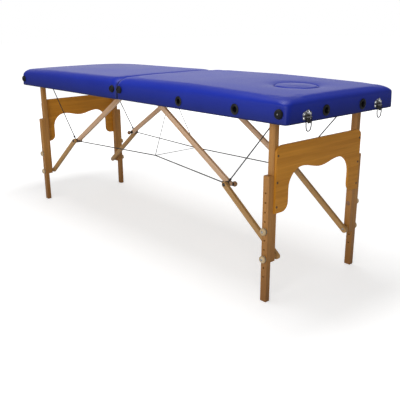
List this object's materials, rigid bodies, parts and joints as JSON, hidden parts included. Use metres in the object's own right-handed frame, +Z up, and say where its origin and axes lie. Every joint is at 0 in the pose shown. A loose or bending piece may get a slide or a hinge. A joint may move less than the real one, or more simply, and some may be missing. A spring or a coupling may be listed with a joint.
{
  "type": "portable massage table",
  "caption": "Two padded halves that fold on centre hinges, on cable-braced wooden legs with sliding lower legs, arched end panels and a plugged face opening.",
  "frame": {"origin": "on the floor under the middle of the table", "axes": "+X to the head end with the face opening, +Y to the left side with the handle, +Z up"},
  "size_m": [1.8771, 0.5968, 0.728],
  "materials": {
    "vinyl": "semi-gloss coated vinyl over foam",
    "plywood_deck": "thin raw plywood",
    "frame_wood": "varnished beech rail",
    "leg_wood": "varnished brown beech",
    "strut_wood": "varnished light beech",
    "panel_ply": "orange-yellow varnished plywood",
    "knob_wood": "turned and varnished",
    "steel": "zinc plated",
    "chrome": "bright plated",
    "cable": "plastic-sheathed wire rope",
    "webbing": "woven strap"
  },
  "bodies": {
    "head_half": {"head_cushion": "vinyl", "head_deck": "plywood_deck", "head_frame": "frame_wood", "head_cross_batten": "frame_wood", "head_leg_rod": "steel", "head_right_hinge_leaf": "steel", "head_middle_hinge_leaf": "steel", "head_left_hinge_leaf": "steel", "head_right_knee_cable": "cable", "head_left_knee_cable": "cable", "right_latch_base": "chrome", "right_span_cable": "cable", "right_centre_tie": "cable", "left_latch_base": "chrome", "left_span_cable": "cable", "left_centre_tie": "cable", "cross_tie": "cable", "carry_handle": "webbing"},
    "foot_half": {"foot_cushion": "vinyl", "foot_deck": "plywood_deck", "foot_frame": "frame_wood", "foot_cross_batten": "frame_wood", "foot_leg_rod": "steel", "foot_right_hinge_leaf": "steel", "foot_middle_hinge_leaf": "steel", "foot_left_hinge_leaf": "steel", "foot_right_knee_cable": "cable", "foot_left_knee_cable": "cable", "right_latch_catch": "chrome", "left_latch_catch": "chrome"},
    "face_plug": {"face_plug": "vinyl"},
    "head_legs": {"head_end_panel": "panel_ply", "head_right_upper_leg": "leg_wood", "head_left_upper_leg": "leg_wood"},
    "head_right_lower_leg": {"head_right_lower_leg": "leg_wood"},
    "head_right_upper_knob": {"head_right_upper_knob": "knob_wood"},
    "head_upper_struts": {"head_right_upper_strut": "strut_wood", "head_left_upper_strut": "strut_wood"},
    "head_right_lower_knob": {"head_right_lower_knob": "knob_wood"},
    "head_lower_struts": {"head_right_lower_strut": "strut_wood", "head_left_lower_strut": "strut_wood"},
    "head_left_lower_leg": {"head_left_lower_leg": "leg_wood"},
    "head_left_upper_knob": {"head_left_upper_knob": "knob_wood"},
    "head_left_lower_knob": {"head_left_lower_knob": "knob_wood"},
    "foot_legs": {"foot_end_panel": "panel_ply", "foot_right_upper_leg": "leg_wood", "foot_left_upper_leg": "leg_wood"},
    "foot_right_lower_leg": {"foot_right_lower_leg": "leg_wood"},
    "foot_right_upper_knob": {"foot_right_upper_knob": "knob_wood"},
    "foot_upper_struts": {"foot_right_upper_strut": "strut_wood", "foot_left_upper_strut": "strut_wood"},
    "foot_right_lower_knob": {"foot_right_lower_knob": "knob_wood"},
    "foot_lower_struts": {"foot_right_lower_strut": "strut_wood", "foot_left_lower_strut": "strut_wood"},
    "foot_left_lower_leg": {"foot_left_lower_leg": "leg_wood"},
    "foot_left_upper_knob": {"foot_left_upper_knob": "knob_wood"},
    "foot_left_lower_knob": {"foot_left_lower_knob": "knob_wood"},
    "right_latch_bail": {"right_latch_bail": "chrome"},
    "left_latch_bail": {"left_latch_bail": "chrome"}
  },
  "joints": [
    {"name": "table_fold", "type": "hinge", "parent": "head_half", "child": "foot_half", "pos_m": [0, 0, 0.6322], "axis": [0, -1, 0], "range_deg": [0, 90], "deforming": ["right_span_cable", "left_span_cable", "right_centre_tie", "left_centre_tie", "cross_tie"]},
    {"name": "head_leg_fold", "type": "hinge", "parent": "head_half", "child": "head_legs", "pos_m": [0.826, 0, 0.66], "axis": [0, 1, 0], "range_deg": [0, 90], "deforming": ["head_right_knee_cable", "head_left_knee_cable", "right_span_cable", "left_span_cable", "right_centre_tie", "left_centre_tie", "cross_tie"]},
    {"name": "head_upper_strut_swing", "type": "hinge", "parent": "head_half", "child": "head_upper_struts", "pos_m": [0.07702, 0, 0.66], "axis": [0, -1, 0], "range_deg": [0, 36]},
    {"name": "head_lower_strut_swing", "type": "hinge", "parent": "head_legs", "child": "head_lower_struts", "pos_m": [0.826, 0, 0.16], "axis": [0, 1, 0], "range_deg": [0, 52]},
    {"name": "head_right_leg_height", "type": "slide", "parent": "head_legs", "child": "head_right_lower_leg", "axis": [0, 0, 1], "range_m": [-0.134, 0.067]},
    {"name": "head_right_upper_knob_turn", "type": "hinge", "parent": "head_legs", "child": "head_right_upper_knob", "pos_m": [0.826, -0.2568, 0.2605], "axis": [0, -1, 0], "continuous": true},
    {"name": "head_right_lower_knob_turn", "type": "hinge", "parent": "head_legs", "child": "head_right_lower_knob", "pos_m": [0.826, -0.2568, 0.16], "axis": [0, -1, 0], "continuous": true},
    {"name": "head_left_leg_height", "type": "slide", "parent": "head_legs", "child": "head_left_lower_leg", "axis": [0, 0, 1], "range_m": [-0.134, 0.067]},
    {"name": "head_left_upper_knob_turn", "type": "hinge", "parent": "head_legs", "child": "head_left_upper_knob", "pos_m": [0.826, 0.2568, 0.2605], "axis": [0, 1, 0], "continuous": true},
    {"name": "head_left_lower_knob_turn", "type": "hinge", "parent": "head_legs", "child": "head_left_lower_knob", "pos_m": [0.826, 0.2568, 0.16], "axis": [0, 1, 0], "continuous": true},
    {"name": "foot_leg_fold", "type": "hinge", "parent": "foot_half", "child": "foot_legs", "pos_m": [-0.826, 0, 0.66], "axis": [0, -1, 0], "range_deg": [0, 90], "deforming": ["foot_right_knee_cable", "foot_left_knee_cable", "right_span_cable", "left_span_cable", "right_centre_tie", "left_centre_tie", "cross_tie"]},
    {"name": "foot_upper_strut_swing", "type": "hinge", "parent": "foot_half", "child": "foot_upper_struts", "pos_m": [-0.07702, 0, 0.66], "axis": [0, 1, 0], "range_deg": [0, 36]},
    {"name": "foot_lower_strut_swing", "type": "hinge", "parent": "foot_legs", "child": "foot_lower_struts", "pos_m": [-0.826, 0, 0.16], "axis": [0, -1, 0], "range_deg": [0, 52]},
    {"name": "foot_right_leg_height", "type": "slide", "parent": "foot_legs", "child": "foot_right_lower_leg", "axis": [0, 0, 1], "range_m": [-0.134, 0.067]},
    {"name": "foot_right_upper_knob_turn", "type": "hinge", "parent": "foot_legs", "child": "foot_right_upper_knob", "pos_m": [-0.826, -0.2568, 0.2605], "axis": [0, -1, 0], "continuous": true},
    {"name": "foot_right_lower_knob_turn", "type": "hinge", "parent": "foot_legs", "child": "foot_right_lower_knob", "pos_m": [-0.826, -0.2568, 0.16], "axis": [0, -1, 0], "continuous": true},
    {"name": "foot_left_leg_height", "type": "slide", "parent": "foot_legs", "child": "foot_left_lower_leg", "axis": [0, 0, 1], "range_m": [-0.134, 0.067]},
    {"name": "foot_left_upper_knob_turn", "type": "hinge", "parent": "foot_legs", "child": "foot_left_upper_knob", "pos_m": [-0.826, 0.2568, 0.2605], "axis": [0, 1, 0], "continuous": true},
    {"name": "foot_left_lower_knob_turn", "type": "hinge", "parent": "foot_legs", "child": "foot_left_lower_knob", "pos_m": [-0.826, 0.2568, 0.16], "axis": [0, 1, 0], "continuous": true},
    {"name": "right_bail_swing", "type": "hinge", "parent": "head_half", "child": "right_latch_bail", "pos_m": [0.9373, -0.193, 0.652], "axis": [0, -1, 0], "range_deg": [0, 150]},
    {"name": "left_bail_swing", "type": "hinge", "parent": "head_half", "child": "left_latch_bail", "pos_m": [0.9373, 0.193, 0.652], "axis": [0, -1, 0], "range_deg": [0, 150]},
    {"name": "face_plug_lift", "type": "slide", "parent": "head_half", "child": "face_plug", "axis": [0, 0, 1], "range_m": [0, 0.12]}
  ],
  "couplings": [
    {"joint": "head_upper_strut_swing", "follows": "head_leg_fold", "ratio": 0.35803},
    {"joint": "head_lower_strut_swing", "follows": "head_leg_fold", "ratio": 0.56459},
    {"joint": "foot_upper_strut_swing", "follows": "foot_leg_fold", "ratio": 0.35803},
    {"joint": "foot_lower_strut_swing", "follows": "foot_leg_fold", "ratio": 0.56459}
  ]
}
